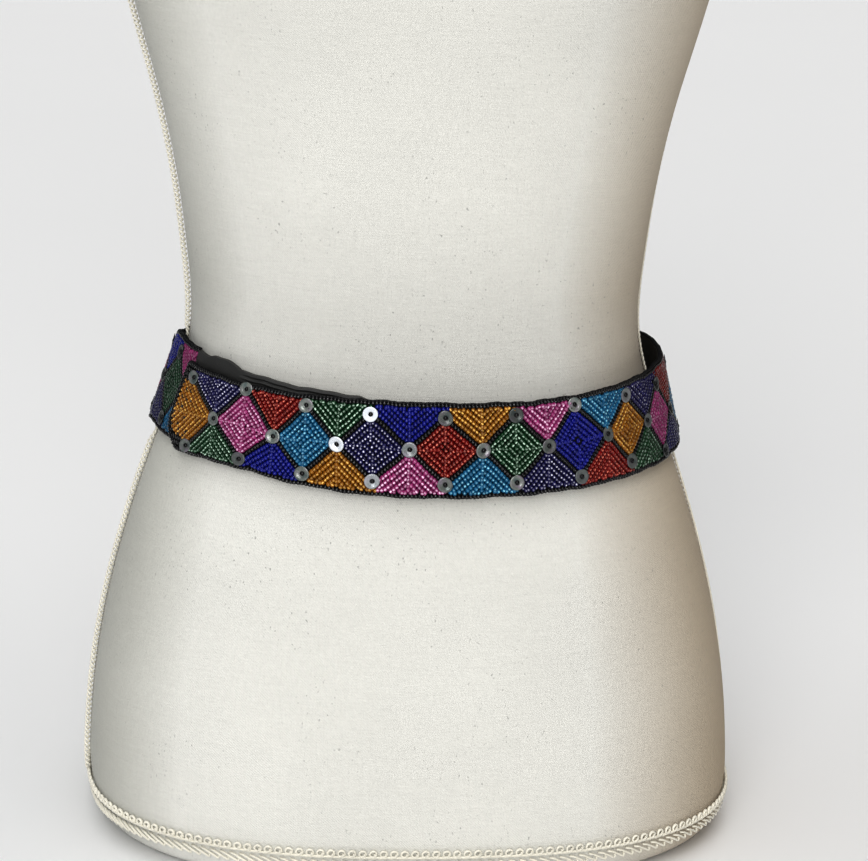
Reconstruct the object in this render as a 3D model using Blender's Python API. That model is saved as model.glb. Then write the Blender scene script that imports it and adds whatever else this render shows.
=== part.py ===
"""Beaded belt fastened round a plain canvas dress form.

The belt is a beaded face on black satin, with a lining, folded bindings and a
closure tab. It rests on the hip flare of a limbless form with a flat base.
Sizes are in millimetres and become metres when a mesh is made. The front of the
form faces -Y, the viewer's right is +X, and the base stands on Z = 0.
"""
import math
from collections import namedtuple

import bmesh
import bpy
import numpy as np
from mathutils import Vector

MM = 0.001
GAP = 0.3                  # parting between pieces that touch

# Dress form: horizontal sections from the base to the top of the neck
Section = namedtuple("Section", "height half_width front back squareness")
FORM_SECTIONS = (
    Section(0.0, 154.5, 114.5, 114.5, 2.5),      # flat base
    Section(4.0, 162.0, 120.5, 120.5, 2.5),      # base edge turns under
    Section(10.0, 166.8, 124.5, 124.5, 2.5),
    Section(24.0, 169.3, 126.4, 126.4, 2.5),     # widest, above the base braid
    Section(45.0, 169.0, 126.2, 126.2, 2.5),
    Section(80.0, 165.9, 123.8, 124.4, 2.5),     # hips
    Section(120.0, 158.7, 118.2, 119.7, 2.45),
    Section(160.0, 147.7, 110.2, 111.2, 2.4),
    Section(185.0, 139.5, 103.5, 104.0, 2.3),
    Section(205.0, 132.4, 96.5, 97.0, 2.2),      # where the belt rests
    Section(230.0, 122.6, 88.5, 89.5, 2.2),
    Section(262.0, 114.7, 85.0, 85.6, 2.25),     # waist
    Section(300.0, 117.0, 87.0, 88.0, 2.25),
    Section(340.0, 122.0, 91.0, 92.0, 2.3),
    Section(380.0, 130.3, 96.5, 98.0, 2.3),
    Section(420.0, 141.3, 103.0, 104.0, 2.35),
    Section(450.0, 149.0, 107.5, 107.5, 2.35),   # bust
    Section(480.0, 157.0, 106.5, 109.0, 2.35),
    Section(515.0, 165.0, 101.0, 107.5, 2.35),   # shoulder blades
    Section(545.0, 168.0, 91.0, 101.0, 2.35),
    Section(572.0, 162.0, 77.0, 88.0, 2.3),
    Section(592.0, 137.0, 66.0, 75.0, 2.2),      # shoulder slope
    Section(608.0, 99.0, 60.0, 66.0, 2.1),
    Section(624.0, 72.0, 56.0, 60.0, 2.0),
    Section(645.0, 61.0, 53.0, 55.0, 2.0),       # neck
    Section(690.0, 57.0, 51.0, 52.0, 2.0),
)
FORM_SIDES = 36
LEAN = 0.012               # the form leans this much to -X for each unit of height
LEAN_TOP = 430.0           # height where the lean ends
RING_STEP = 20.0           # largest spacing of the form's rings

# Bust: two soft rises on the front
BUST_RISE = 14.0
BUST_APART = 138.0
BUST_HEIGHT = 462.0
BUST_SPREAD = 52.0
BUST_TALL = 42.0

# Armholes are cut flat and closed with an oval plate
ARM_CUT = 157.0            # from the form's middle to the flat cut
ARM_HEIGHT = 535.0
ARM_OVAL = (38.0, 46.0)    # half depth, half height of a plate
ARM_PLATE_THICKNESS = 6.0
ARM_PLATE_SIDES = 24

NECK_CAP_THICKNESS = 11.0
NECK_CAP_OVERHANG = 1.0
NECK_CAP_BEVEL = 3.5

# Gimp braids on the form
BASE_BRAID_BOTTOM = 12.5
BASE_BRAID_TOP = 23.5
BASE_BRAID_THICKNESS = 2.8
BASE_BRAID_STATIONS = 60
SIDE_BRAID_WIDTH = 3.6
SIDE_BRAID_THICKNESS = 2.0
SIDE_BRAID_PRESSED = 1.0   # thickness under the belt
SIDE_BRAID_FORWARD = 4.0   # in front of the form's widest line
SIDE_BRAID_TOP = 474.0
PRESSED_FROM = 196.0
PRESSED_TO = 262.0

# Belt loop: the outside of the beads, at half the belt's height
LOOP_HALF_WIDTH = 131.8
LOOP_FRONT = 108.7
LOOP_BACK = 101.0
LOOP_SQUARENESS = 2.05
BELT_HEIGHT = 46.0         # over the two bindings
BELT_MIDDLE = 230.0        # height of the belt's middle line at the sides
BELT_SHIFT = -1.0          # the loop's middle, along X
TILT_X = -0.004            # rise for each unit along X
TILT_Y = 0.050             # rise for each unit along Y: the front hangs lower
LEFT_FLARE = 0.32          # how far the lower edge stands out, at the -X side
RIGHT_FLARE = 0.25         # at the +X side
FRONT_FLARE = 0.054        # and at the front and back

# Belt layers, as depths inwards from the outside of the beads
FACE_THICKNESS = 1.8
LINING_DEPTH = FACE_THICKNESS + GAP
LINING_THICKNESS = 1.0
BELT_THICKNESS = LINING_DEPTH + LINING_THICKNESS
FACE_CROWN = 0.4           # the beads stand higher along the middle
BINDING_WIDTH = 1.7
FACE_HALF = BELT_HEIGHT / 2 - BINDING_WIDTH - GAP

# Places along the loop, from the front's middle towards +X
OUTER_END = -149.0
UNDER_END = 619.0
TAB_END = 712.0
STATION_STEP = 8.6

# The outer end's cut, from the top edge round to the bottom edge
EndPoint = namedtuple("EndPoint", "along height")
OUTER_END_CUT = (
    EndPoint(-145.5, FACE_HALF),
    EndPoint(-147.8, 8.0),
    EndPoint(OUTER_END, -5.0),
    EndPoint(-148.0, -12.5),
    EndPoint(-144.6, -17.8),
    EndPoint(-138.5, -FACE_HALF),
)

# How far each stretch stands out from the loop, so that the ends can overlap
Layer = namedtuple("Layer", "along outwards")
LAYERS = (
    Layer(-152.0, 2.8),
    Layer(-100.0, 1.4),
    Layer(-40.0, 0.5),
    Layer(60.0, 0.0),
    Layer(480.0, 0.0),
    Layer(560.0, 0.2),
    Layer(598.0, -0.9),
    Layer(620.0, -1.5),
    Layer(715.0, -3.0),
)

# Closure tab: a black tab sewn to the under end
TAB_HALF = 18.5
TAB_EAR = 5.6              # rise of its rounded ear above the tab
TAB_EAR_LENGTH = 30.0
TAB_THICKNESS = 2.4
TAB_ROUND = 12.0


def clear_scene():
    """Remove the scene's objects."""
    for old in list(bpy.data.objects):
        bpy.data.objects.remove(old, do_unlink=True)


def make_collection(name):
    """A collection for the finished pieces."""
    group = bpy.data.collections.new(name)
    bpy.context.scene.collection.children.link(group)
    return group


def make_material(name, colour, roughness, metallic=0.0):
    """A Principled material of one colour."""
    material = bpy.data.materials.new(name)
    material.use_nodes = True
    shader = material.node_tree.nodes["Principled BSDF"]
    shader.inputs["Base Color"].default_value = (*colour, 1.0)
    shader.inputs["Roughness"].default_value = roughness
    shader.inputs["Metallic"].default_value = metallic
    return material


def smooth_row(rows, key, place):
    """Read a table of rows at any place, on a smooth curve through its points."""
    values = np.array(rows, dtype=float)
    keys = values[:, key]
    slopes = np.gradient(values, keys, axis=0)
    place = min(max(place, keys[0]), keys[-1])
    i = min(int(np.searchsorted(keys, place, side="right")) - 1, len(keys) - 2)
    span = keys[i + 1] - keys[i]
    t = (place - keys[i]) / span
    return ((2 * t**3 - 3 * t**2 + 1) * values[i] + (t**3 - 2 * t**2 + t) * span * slopes[i]
            + (3 * t**2 - 2 * t**3) * values[i + 1] + (t**3 - t**2) * span * slopes[i + 1])


def signed_power(value, power):
    """Raise the size of a value to a power and keep its sign."""
    return math.copysign(abs(value) ** power, value)


def loft(name, rings, group, material, closed=False):
    """One closed body through rings of points, capped at its ends or joined round."""
    mesh = bmesh.new()
    rows = [[mesh.verts.new(Vector(point) * MM) for point in ring] for ring in rings]
    pairs = list(zip(rows, rows[1:]))
    if closed:
        pairs.append((rows[-1], rows[0]))
    for lower, upper in pairs:
        for i in range(len(lower)):
            j = (i + 1) % len(lower)
            mesh.faces.new((lower[i], lower[j], upper[j], upper[i]))
    if not closed:
        mesh.faces.new(rows[0])
        mesh.faces.new(rows[-1])
    bmesh.ops.recalc_face_normals(mesh, faces=mesh.faces)
    return finish_piece(name, mesh, group, material)


def finish_piece(name, mesh, group, material):
    """Turn a bmesh into a named object with its material."""
    data = bpy.data.meshes.new(name)
    mesh.to_mesh(data)
    mesh.free()
    data.shade_smooth()
    data.set_sharp_from_angle(angle=math.radians(40.0))
    data.materials.append(material)
    piece = bpy.data.objects.new(name, data)
    group.objects.link(piece)
    return piece


def form_section(height):
    """The form's section at a height."""
    return Section(*smooth_row(FORM_SECTIONS, 0, height))


def form_middle(height):
    """Where the form's middle lies along X at a height."""
    return -LEAN * min(height, LEAN_TOP)


def bust_rise(x, height):
    """How far the bust lifts the front at one place."""
    across = (abs(x) - BUST_APART / 2) / BUST_SPREAD
    up = (height - BUST_HEIGHT) / BUST_TALL
    return BUST_RISE * math.exp(-across**2 - up**2)


def form_point(height, angle, out=0.0):
    """A point on the form: angle 0 is the front, a quarter turn is +X."""
    cut = form_section(height)
    power = 2.0 / cut.squareness
    x = (cut.half_width + out) * signed_power(math.sin(angle), power)
    front = math.cos(angle) > 0.0
    depth = (cut.front if front else cut.back) + out
    y = -depth * signed_power(math.cos(angle), power)
    if front:
        y -= bust_rise(x, height) * (y / depth) ** 2
    return (x + form_middle(height), y, height)


def ring_heights():
    """Heights of the form's rings: every table height, and between them where far apart."""
    heights = []
    for low, high in zip(FORM_SECTIONS, FORM_SECTIONS[1:]):
        steps = math.ceil((high.height - low.height) / RING_STEP)
        heights += [low.height + (high.height - low.height) * i / steps for i in range(steps)]
    return heights + [FORM_SECTIONS[-1].height]


def make_form(group, material):
    """The whole limbless form, cut flat at both armholes."""
    turns = [2 * math.pi * i / FORM_SIDES for i in range(FORM_SIDES)]
    rings = [[form_point(height, turn) for turn in turns] for height in ring_heights()]
    form = loft("dress_form", rings, group, material)
    mesh = bmesh.new()
    mesh.from_mesh(form.data)
    for side in (-1, 1):
        everything = mesh.verts[:] + mesh.edges[:] + mesh.faces[:]
        place = Vector((form_middle(ARM_HEIGHT) + side * ARM_CUT, 0.0, 0.0)) * MM
        # Only the shoulder reaches past this plane at its height
        shoulder = [item for item in everything if lowest(item) > (LEAN_TOP + 15.0) * MM]
        cut = bmesh.ops.bisect_plane(mesh, geom=shoulder, plane_co=place,
                                     plane_no=(side, 0.0, 0.0), clear_outer=True)
        rim = [item for item in cut["geom_cut"] if isinstance(item, bmesh.types.BMEdge)]
        bmesh.ops.edgenet_fill(mesh, edges=rim)
    bmesh.ops.dissolve_degenerate(mesh, edges=mesh.edges, dist=0.00005)
    bmesh.ops.recalc_face_normals(mesh, faces=mesh.faces)
    mesh.to_mesh(form.data)
    mesh.free()
    form.data.set_sharp_from_angle(angle=math.radians(40.0))


def lowest(item):
    """The lowest height of a vertex, an edge or a face."""
    if isinstance(item, bmesh.types.BMVert):
        return item.co.z
    return min(vert.co.z for vert in item.verts)


def make_arm_plate(side, group, material):
    """An oval plate on an armhole's flat cut."""
    mesh = bmesh.new()
    bmesh.ops.create_cone(mesh, cap_ends=True, segments=ARM_PLATE_SIDES, radius1=1.0,
                          radius2=0.9, depth=1.0)
    depth, tall = ARM_OVAL
    middle = form_middle(ARM_HEIGHT) + side * (ARM_CUT + GAP)
    for vert in mesh.verts:
        across, up, out = vert.co
        vert.co = Vector((middle + side * (out + 0.5) * ARM_PLATE_THICKNESS,
                          across * depth, ARM_HEIGHT + up * tall)) * MM
    mesh.normal_update()
    bmesh.ops.recalc_face_normals(mesh, faces=mesh.faces)
    name = "arm_plate_right" if side > 0 else "arm_plate_left"
    finish_piece(name, mesh, group, material)


def make_neck_cap(group, material):
    """A shallow oval cap on the top of the neck."""
    top = FORM_SECTIONS[-1]
    mesh = bmesh.new()
    bmesh.ops.create_cone(mesh, cap_ends=True, segments=FORM_SIDES, radius1=1.0,
                          radius2=1.0, depth=1.0)
    for vert in mesh.verts:
        across, along, up = vert.co
        reach = (top.front if along < 0 else top.back) + NECK_CAP_OVERHANG
        vert.co = Vector((form_middle(top.height) + across * (top.half_width + NECK_CAP_OVERHANG),
                          along * reach,
                          top.height + GAP + (up + 0.5) * NECK_CAP_THICKNESS)) * MM
    ridge = (top.height + GAP + NECK_CAP_THICKNESS / 2) * MM
    rim = [edge for edge in mesh.edges if lowest(edge) > ridge]
    bmesh.ops.bevel(mesh, geom=rim, offset=NECK_CAP_BEVEL * MM, offset_type="OFFSET",
                    segments=2, profile=0.5, affect="EDGES", material=-1)
    finish_piece("neck_cap", mesh, group, material)


def make_base_braid(group, material):
    """The gimp braid round the base: one closed strip on the form's surface."""
    middle = (BASE_BRAID_BOTTOM + BASE_BRAID_TOP) / 2
    profile = (
        (BASE_BRAID_BOTTOM, GAP),
        (BASE_BRAID_TOP, GAP),
        (BASE_BRAID_TOP, GAP + 0.6 * BASE_BRAID_THICKNESS),
        (middle + 3.0, GAP + BASE_BRAID_THICKNESS),
        (middle - 3.0, GAP + BASE_BRAID_THICKNESS),
        (BASE_BRAID_BOTTOM, GAP + 0.6 * BASE_BRAID_THICKNESS),
    )
    rings = []
    for i in range(BASE_BRAID_STATIONS):
        turn = 2 * math.pi * i / BASE_BRAID_STATIONS
        rings.append([form_point(height, turn, out) for height, out in profile])
    loft("base_braid", rings, group, material, closed=True)


def side_point(side, height, out, across):
    """A point beside the side seam: out from the form, and across towards the back."""
    cut = form_section(height)
    x = form_middle(height) + side * (cut.half_width + out)
    return (x, across - SIDE_BRAID_FORWARD, height)


def make_side_braid(side, group, material):
    """A narrow braid up one side seam, pressed thin behind the belt."""
    heights = [height for height in ring_heights()
               if BASE_BRAID_TOP + 2.0 < height < SIDE_BRAID_TOP]
    heights = [BASE_BRAID_TOP + GAP] + heights + [SIDE_BRAID_TOP]
    half = SIDE_BRAID_WIDTH / 2
    rings = []
    for height in heights:
        pressed = PRESSED_FROM < height < PRESSED_TO
        thick = SIDE_BRAID_PRESSED if pressed else SIDE_BRAID_THICKNESS
        rings.append([
            side_point(side, height, GAP, -half),
            side_point(side, height, GAP, half),
            side_point(side, height, GAP + 0.6 * thick, half),
            side_point(side, height, GAP + thick, 0.0),
            side_point(side, height, GAP + 0.6 * thick, -half),
        ])
    name = "side_braid_right" if side > 0 else "side_braid_left"
    loft(name, rings, group, material)


def measure_loop():
    """The belt's loop as places, directions outwards and lengths along it."""
    turns = np.linspace(-math.pi, math.pi, 1441)
    power = 2.0 / LOOP_SQUARENESS
    depth = np.where(np.cos(turns) >= 0.0, LOOP_FRONT, LOOP_BACK)
    x = LOOP_HALF_WIDTH * np.sign(np.sin(turns)) * np.abs(np.sin(turns)) ** power
    y = -depth * np.sign(np.cos(turns)) * np.abs(np.cos(turns)) ** power
    along = np.concatenate([[0.0], np.cumsum(np.hypot(np.diff(x), np.diff(y)))])
    length = along[-1]
    along -= np.interp(0.0, turns, along)
    run_x = np.gradient(x, along)
    run_y = np.gradient(y, along)
    return along, x, y, run_x, run_y, length


LOOP = measure_loop()


def belt_point(along, height, depth):
    """A point of the belt: along its length, above its middle line, inwards from the beads."""
    places, xs, ys, runs_x, runs_y, length = LOOP
    half = length / 2
    turn = (along + half) % length - half
    x, y, run_x, run_y = (np.interp(turn, places, row) for row in (xs, ys, runs_x, runs_y))
    out = smooth_row(LAYERS, 0, along)[1] - depth
    x += run_y * out
    y -= run_x * out
    side = min(1.0, (x / LOOP_HALF_WIDTH) ** 2)
    side_flare = RIGHT_FLARE if x > 0.0 else LEFT_FLARE
    flare = side_flare * side + FRONT_FLARE * (1.0 - side)
    spread = 1.0 - flare * height / math.hypot(x, y)
    rise = BELT_MIDDLE + height + TILT_X * x + TILT_Y * y
    return (x * spread + BELT_SHIFT, y * spread, rise)


def end_limits(along):
    """The lowest and highest point of the face where the outer end's cut leaves it."""
    upper = OUTER_END_CUT[:3]
    lower = OUTER_END_CUT[2:]
    top = np.interp(along, [p.along for p in reversed(upper)], [p.height for p in reversed(upper)])
    bottom = np.interp(along, [p.along for p in lower], [p.height for p in lower])
    return float(bottom), float(top)


def face_stations():
    """Places along the face: the end cut's own, then even steps."""
    ends = sorted({point.along for point in OUTER_END_CUT[:-1]} - {OUTER_END})
    first = OUTER_END_CUT[-1].along
    count = math.ceil((UNDER_END - first) / STATION_STEP)
    steps = [first + (UNDER_END - first) * i / count for i in range(count + 1)]
    return [OUTER_END + 0.05] + ends + steps


def make_face(group, material):
    """The beaded face, crowned a little along its middle."""
    rings = []
    for along in face_stations():
        bottom, top = end_limits(along)
        third = (top - bottom) / 3
        rings.append([belt_point(along, height, depth) for height, depth in (
            (bottom, FACE_THICKNESS),
            (top, FACE_THICKNESS),
            (top, FACE_CROWN),
            (bottom + 2 * third, 0.0),
            (bottom + third, 0.0),
            (bottom, FACE_CROWN),
        )])
    loft("belt_face", rings, group, material)


def make_lining(group, material):
    """The satin lining behind the face, cut to the same outline."""
    rings = []
    for along in face_stations():
        bottom, top = end_limits(along)
        rings.append([belt_point(along, height, depth) for height, depth in (
            (bottom, BELT_THICKNESS),
            (top, BELT_THICKNESS),
            (top, LINING_DEPTH),
            (bottom, LINING_DEPTH),
        )])
    loft("belt_lining", rings, group, material)


def edge_normals(path):
    """The direction off the cloth at each point of an edge, to the left of its run."""
    normals = []
    for i, point in enumerate(path):
        before = path[max(i - 1, 0)]
        after = path[min(i + 1, len(path) - 1)]
        run = Vector((after.along - before.along, after.height - before.height)).normalized()
        normals.append((-run.y, run.x))
    return normals


def make_binding(name, path, group, material):
    """A folded binding along an edge of the belt, over face and lining."""
    profile = (
        (GAP, BELT_THICKNESS),
        (GAP + 0.6 * BINDING_WIDTH, BELT_THICKNESS),
        (GAP + BINDING_WIDTH, 0.75 * BELT_THICKNESS),
        (GAP + BINDING_WIDTH, 0.3 * BELT_THICKNESS),
        (GAP + 0.6 * BINDING_WIDTH, 0.0),
        (GAP, 0.0),
    )
    rings = []
    for point, (off_along, off_height) in zip(path, edge_normals(path)):
        rings.append([belt_point(point.along + off_along * off, point.height + off_height * off,
                                 depth) for off, depth in profile])
    loft(name, rings, group, material)


def make_bindings(group, material):
    """Top, bottom and outer end bindings."""
    first = OUTER_END_CUT[-1].along
    steps = math.ceil((UNDER_END - first) / STATION_STEP)
    places = [first + (UNDER_END - first) * i / steps for i in range(steps + 1)]
    top_places = [OUTER_END_CUT[0].along + GAP] + places
    top = [EndPoint(place, FACE_HALF) for place in top_places]
    bottom = [EndPoint(place, -FACE_HALF) for place in reversed(places)]
    make_binding("binding_top", top, group, material)
    make_binding("binding_bottom", bottom, group, material)
    corner = EndPoint(first - GAP, -FACE_HALF)
    crown = EndPoint(OUTER_END_CUT[0].along, FACE_HALF)
    end = [corner] + list(reversed(OUTER_END_CUT[1:-1])) + [crown]
    make_binding("binding_end", end, group, material)


def tab_limits(along):
    """The tab's lowest and highest point: an ear where it starts, rounded where it ends."""
    start = UNDER_END + GAP
    ear = max(0.0, 1.0 - ((along - start - TAB_EAR_LENGTH / 2) / (TAB_EAR_LENGTH / 2)) ** 2)
    left = max(0.0, TAB_ROUND - (TAB_END - along))
    drop = TAB_ROUND - math.sqrt(max(0.0, TAB_ROUND**2 - left**2))
    half = TAB_HALF - 0.9 * drop
    return -half, half + TAB_EAR * math.sqrt(ear) + (FACE_HALF - TAB_HALF) * (ear > 0.0)


def make_tab(group, material):
    """The black closure tab beyond the under end, behind the outer end."""
    start = UNDER_END + GAP
    places = [start + TAB_EAR_LENGTH * t for t in (0.0, 0.06, 0.2, 0.4, 0.6, 0.8, 0.94, 1.0)]
    rest = TAB_END - TAB_ROUND - places[-1]
    places += [places[-1] + rest * i / 5 for i in range(1, 6)]
    places += [TAB_END - TAB_ROUND * t for t in (0.6, 0.3, 0.1, 0.01)]
    rings = []
    for along in places:
        bottom, top = tab_limits(along)
        rings.append([belt_point(along, height, depth) for height, depth in (
            (bottom, GAP + TAB_THICKNESS),
            (top, GAP + TAB_THICKNESS),
            (top, GAP),
            (bottom, GAP),
        )])
    loft("closure_tab", rings, group, material)


def main():
    """Build every piece."""
    clear_scene()
    group = make_collection("beaded_belt_on_dress_form")
    canvas = make_material("cream canvas", (0.76, 0.73, 0.64), 0.9)
    braid = make_material("cream rayon braid", (0.82, 0.78, 0.66), 0.6)
    beads = make_material("beadwork", (0.07, 0.03, 0.15), 0.25)
    satin = make_material("black satin", (0.012, 0.012, 0.012), 0.5)
    binding = make_material("black binding", (0.01, 0.01, 0.011), 0.65)
    make_form(group, canvas)
    make_neck_cap(group, canvas)
    make_base_braid(group, braid)
    for side in (-1, 1):
        make_arm_plate(side, group, canvas)
        make_side_braid(side, group, braid)
    make_face(group, beads)
    make_lining(group, satin)
    make_bindings(group, binding)
    make_tab(group, satin)


main()
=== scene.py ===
"""Looks for a beaded belt fastened round a limbless canvas dress form.

Belt pieces are modelled flat, as a maker lays them out, with X along the belt,
Y up its width and Z off its face. They are then bent round the belt's loop.
Lengths are in metres. The form's front faces -Y and it stands on Z = 0.
"""

import math
import random
from collections import namedtuple

import bmesh
import bpy
import numpy as np
from mathutils import Matrix, Vector
from mathutils.bvhtree import BVHTree


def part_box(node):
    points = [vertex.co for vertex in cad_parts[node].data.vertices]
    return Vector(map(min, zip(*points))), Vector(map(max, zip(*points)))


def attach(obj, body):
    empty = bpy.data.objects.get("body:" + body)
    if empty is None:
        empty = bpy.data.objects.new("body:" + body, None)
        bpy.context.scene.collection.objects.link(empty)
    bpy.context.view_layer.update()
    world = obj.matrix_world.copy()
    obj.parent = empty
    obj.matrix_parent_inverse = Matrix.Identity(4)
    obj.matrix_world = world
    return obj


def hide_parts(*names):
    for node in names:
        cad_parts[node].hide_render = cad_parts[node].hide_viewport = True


bl_info = {
    "name": "Beaded belt on a dress form",
    "version": (1, 0, 0),
    "blender": (4, 5, 0),
    "location": "View3D > Sidebar > Beaded belt",
    "description": "Dresses the packed belt and form with beads, sequins, cloth and braid",
    "category": "Object",
}

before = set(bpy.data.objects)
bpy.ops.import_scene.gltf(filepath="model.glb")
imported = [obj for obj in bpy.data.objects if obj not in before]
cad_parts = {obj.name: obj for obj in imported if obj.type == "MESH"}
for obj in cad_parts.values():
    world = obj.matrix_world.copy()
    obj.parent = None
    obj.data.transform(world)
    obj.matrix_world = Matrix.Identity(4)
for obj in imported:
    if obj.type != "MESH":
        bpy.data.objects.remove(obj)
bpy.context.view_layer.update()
MM = 0.001
BODY = "root"

# The belt's loop, at half its height, on the outside of the beads
LOOP_HALF_WIDTH = 131.8 * MM
LOOP_FRONT = 108.7 * MM
LOOP_BACK = 101.0 * MM
LOOP_SQUARENESS = 2.05
BELT_MIDDLE = 230.0 * MM
BELT_SHIFT = -1.0 * MM
TILT_X = -0.004
TILT_Y = 0.050
LEFT_FLARE = 0.32
RIGHT_FLARE = 0.25
FRONT_FLARE = 0.054

# How far each stretch stands out from the loop, so that the ends can overlap, how far it
# rides up, both in millimetres, and its width as a share of the full width
Layer = namedtuple("Layer", "along outwards upwards wide")
LAYERS = [Layer(*row) for row in (
    (-152.0, 2.8, 1.3, 0.91), (-130.0, 2.3, 1.3, 0.90), (-100.0, 1.4, 1.3, 0.88),
    (-67.0, 0.9, 0.3, 0.95), (-40.0, 0.5, -0.3, 1.0), (60.0, 0.0, -1.4, 1.0),
    (150.0, 0.0, -0.8, 1.0), (225.0, 0.0, -3.2, 1.0), (300.0, 0.0, -2.0, 1.0),
    (440.0, 0.0, -3.0, 1.0), (500.0, -0.6, -5.5, 1.0), (535.0, -1.0, -3.5, 1.0),
    (563.0, 0.0, 3.8, 1.0), (598.0, -0.9, 5.0, 1.0), (620.0, -1.5, 4.8, 1.0),
    (670.0, -2.2, 2.6, 1.0), (715.0, -3.0, 0.8, 1.0))]

# The face's outline, flat, and how far its edges fall back from its middle line
FACE_HALF = 22.4 * MM
FACE_CROWN = 0.3 * MM
UNDER_END = 604.0 * MM
EndPoint = namedtuple("EndPoint", "along height")
OUTER_END = (
    EndPoint(-145.5 * MM, FACE_HALF),
    EndPoint(-147.8 * MM, 8.0 * MM),
    EndPoint(-149.0 * MM, -5.0 * MM),
    EndPoint(-148.0 * MM, -12.5 * MM),
    EndPoint(-144.6 * MM, -17.8 * MM),
    EndPoint(-138.5 * MM, -FACE_HALF),
)
OUTERMOST = OUTER_END[2].along

# The tab, with an ear on its top edge, folds along the rest of that edge, and round corners
TAB_START = 604.3 * MM
TAB_END = 722.0 * MM
TAB_HALF = 18.5 * MM
TAB_OUT = -1.5 * MM
TAB_THICKNESS = 2.0 * MM
TAB_CORNER = 12.0 * MM
EAR_START = TAB_START + 12.0 * MM
EAR_LENGTH = 25.0 * MM
EAR_RISE = 1.6 * MM
FOLD_PITCH = 2.6 * MM
FOLD_DEPTH = 0.45 * MM
FOLD_FADE = 8.0 * MM

# Depths of the layers, measured off the outside of the beads
BEAD_OUT = -0.75 * MM
GROUND_OUT = -1.43 * MM
GROUND_THICKNESS = 0.7 * MM
LINING_OUT = -2.6 * MM
LINING_THICKNESS = 0.9 * MM

# The folded tapes: gap to the cloth, how far the fold reaches, and its section
TAPE_GAP = 0.15 * MM
TAPE_REACH = 0.4 * MM
TAPE_MIDDLE = -1.75 * MM
TAPE_HALF = 0.9 * MM
TAPE_WALL = 0.35 * MM
TAPE_FOLD = math.radians(115.0)
PUCKER = 2.0 * math.pi / (4.3 * MM)    # the stitches pucker the tape at this spacing

# The base braid: its gap to the form, and how strongly its cords stand off it
GIMP_GAP = 0.3 * MM
GIMP_RELIEF = 1.5

# The side braids: their gap to the form, how far a cord swings along the form and off it
# on the left and on the right, how far off it may stand behind the belt, and how fast
# that grows above and below the belt
CHAIN_GAP = 0.1 * MM
CHAIN_SWING = 1.15 * MM
CHAIN_RISE = {-1: 1.15 * MM, 1: 0.3 * MM}
CHAIN_FLAT = 0.3 * MM
CHAIN_SLOPE = 0.15
# How far forward the side braids run at the floor, and the height where that begins
CHAIN_FORWARD = {-1: 15.0 * MM, 1: 0.0}
CHAIN_BEND = 200.0 * MM

FLOOR_RADIUS = 14.0

# For the canvas's painted side shade: the form's half width at its waist, and at a height away
# from it
WAIST = 290.0 * MM
WAIST_HALF = 120.0 * MM
FLARE_RISE = 200.0 * MM
FLARE_HALF = 165.0 * MM

# The lattice of the pattern: sequins in a top, a middle and a bottom row. Those in front
# have a known shift and height in millimetres.
FIRST_KNOT = -134.0 * MM
KNOT_STEP = 35.1 * MM      # between the first knots, as many as FRONT_KNOTS,
BACK_STEP = 33.55 * MM     # and between the rest
FRONT_KNOTS = 9
KNOT_COUNT = 23
KNOT_HEIGHT = 17.0 * MM
HAND_SPREAD = 0.8 * MM
Knot = namedtuple("Knot", "shift height")
TOP_KNOTS = [Knot(*place) for place in (
    (-3.0, 17.0), (0.5, 20.0), (0.0, 17.5), (-2.5, 16.5), (-1.0, 15.5), (-0.5, 16.0),
    (-2.5, 18.0), (-1.5, 16.5), (-4.0, 14.7))]
MIDDLE_KNOTS = [Knot(*place) for place in (
    (1.0, 1.5), (1.5, 0.0), (-1.0, 0.5), (-0.5, 0.0), (0.5, -0.5), (-0.5, -1.0),
    (0.0, 0.0), (-3.0, 0.0), (-5.0, -2.5))]
BOTTOM_KNOTS = [Knot(*place) for place in (
    (3.5, -15.5), (2.0, -14.0), (0.5, -16.0), (-0.5, -16.5), (-0.5, -17.5), (0.0, -17.5),
    (0.0, -18.0), (-2.0, -16.5), (-5.5, -19.0))]

# Colours in the order that the diamonds take round the belt
ORDER = ("amber", "pink", "teal", "navy", "red", "green", "royal")
TOP_STEP = 3
BOTTOM_STEP = 5
# Cells that leave that order, most of them before the under end
OTHER_DIAMONDS = {20: "pink", 21: "green"}
OTHER_TOPS = {20: "royal", 21: "pink"}
OTHER_BOTTOMS = {8: "navy", 20: "navy", 21: "teal"}

EDGE_ROW = 0.3 * MM        # the black row along an edge lies this far in
END_CUT = (9.0 * MM, -10.0 * MM)    # the first diamond reaches the outer end between these
BEAD_MARGIN = 0.3 * MM     # no bead lies nearer to the face's edge,
SEQUIN_MARGIN = 0.5 * MM   # and no sequin's middle
SEQUIN_ROOM = 2.6 * MM     # no bead lies nearer to a sequin's middle
SEQUIN_OUT = 0.05 * MM     # a sequin's depth, from the outside of the beads
MOST_RINGS = 14

# Each colour's beads: their shape, how strong their painted highlight is, how long and wide
# it is as shares of the bead, and its colour, which on lined beads is also the lining's
Kind = namedtuple("Kind", "shape gleam long wide lining")
KINDS = {
    "amber": Kind("barrel", 0.90, 0.95, 0.38, (1.0, 0.66, 0.18)),
    "pink": Kind("barrel", 1.00, 0.90, 0.42, (1.0, 0.72, 0.92)),
    "teal": Kind("barrel", 0.90, 0.70, 0.38, (0.38, 0.82, 0.97)),
    "navy": Kind("round", 1.00, 0.50, 0.38, (0.86, 0.86, 1.0)),
    "red": Kind("barrel", 0.90, 0.75, 0.32, (0.95, 0.30, 0.20)),
    "green": Kind("barrel", 0.90, 0.90, 0.34, (0.76, 1.0, 0.82)),
    "royal": Kind("round", 0.60, 0.45, 0.34, (0.14, 0.17, 0.62)),
    "black": Kind("round", 0.20, 0.40, 0.30, (0.9, 0.9, 0.9)),
}
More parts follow.
